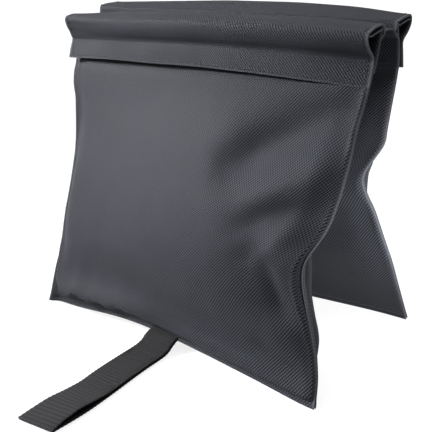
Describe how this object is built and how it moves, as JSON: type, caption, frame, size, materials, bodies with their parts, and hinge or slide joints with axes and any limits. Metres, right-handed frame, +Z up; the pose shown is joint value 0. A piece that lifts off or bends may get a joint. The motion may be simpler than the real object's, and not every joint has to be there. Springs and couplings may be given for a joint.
{
  "type": "saddle sandbag",
  "caption": "Saddle sandbag for stands: two leaning cloth pouches joined by a saddle strip, with closure flaps and a webbing loop handle.",
  "frame": {"origin": "middle of the bag's footprint on the ground, handle included", "axes": "+X along the saddle, -Y towards the pouch that carries the handle, +Z up"},
  "size_m": [0.25, 0.2626, 0.2346],
  "materials": {
    "canvas": "charcoal coated woven nylon, matt with a faint sheen",
    "webbing": "dark grey ribbed webbing",
    "hook_and_loop": "black hook and loop tape",
    "thread": "charcoal bonded thread",
    "liner_film": "milky film",
    "sand": "dry washed sand"
  },
  "bodies": {
    "saddle": {"saddle_strip": "canvas"},
    "front_pouch": {"front_outer_panel": "canvas", "front_inner_panel": "canvas", "front_seam_thread": "thread", "front_saddle_thread": "thread", "front_loop_tape": "hook_and_loop", "front_liner_bag": "liner_film", "front_sand_fill": "sand"},
    "front_flap": {"front_flap": "canvas", "front_hook_tape": "hook_and_loop", "front_flap_thread": "thread"},
    "rear_pouch": {"rear_outer_panel": "canvas", "rear_inner_panel": "canvas", "rear_seam_thread": "thread", "rear_saddle_thread": "thread", "rear_loop_tape": "hook_and_loop", "rear_liner_bag": "liner_film", "rear_sand_fill": "sand"},
    "rear_flap": {"rear_flap": "canvas", "rear_hook_tape": "hook_and_loop", "rear_flap_thread": "thread"},
    "handle": {"handle_webbing": "webbing", "handle_stitch": "thread"}
  },
  "joints": [
    {"name": "front_pouch_swing", "type": "hinge", "parent": "saddle", "child": "front_pouch", "pos_m": [0, 0.0525, 0.229], "axis": [1, 0, 0], "range_deg": [-75, 12]},
    {"name": "rear_pouch_swing", "type": "hinge", "parent": "saddle", "child": "rear_pouch", "pos_m": [0, 0.0525, 0.229], "axis": [-1, 0, 0], "range_deg": [-75, 8]},
    {"name": "front_flap_open", "type": "hinge", "parent": "front_pouch", "child": "front_flap", "pos_m": [0, 0.0439, 0.2283], "axis": [-1, 0, 0], "range_deg": [0, 100]},
    {"name": "rear_flap_open", "type": "hinge", "parent": "rear_pouch", "child": "rear_flap", "pos_m": [0, 0.0611, 0.2283], "axis": [1, 0, 0], "range_deg": [0, 100]},
    {"name": "handle_swing", "type": "hinge", "parent": "front_pouch", "child": "handle", "pos_m": [0, -0.0147, 0.0068], "axis": [-1, 0, 0], "range_deg": [-80, 90]}
  ]
}
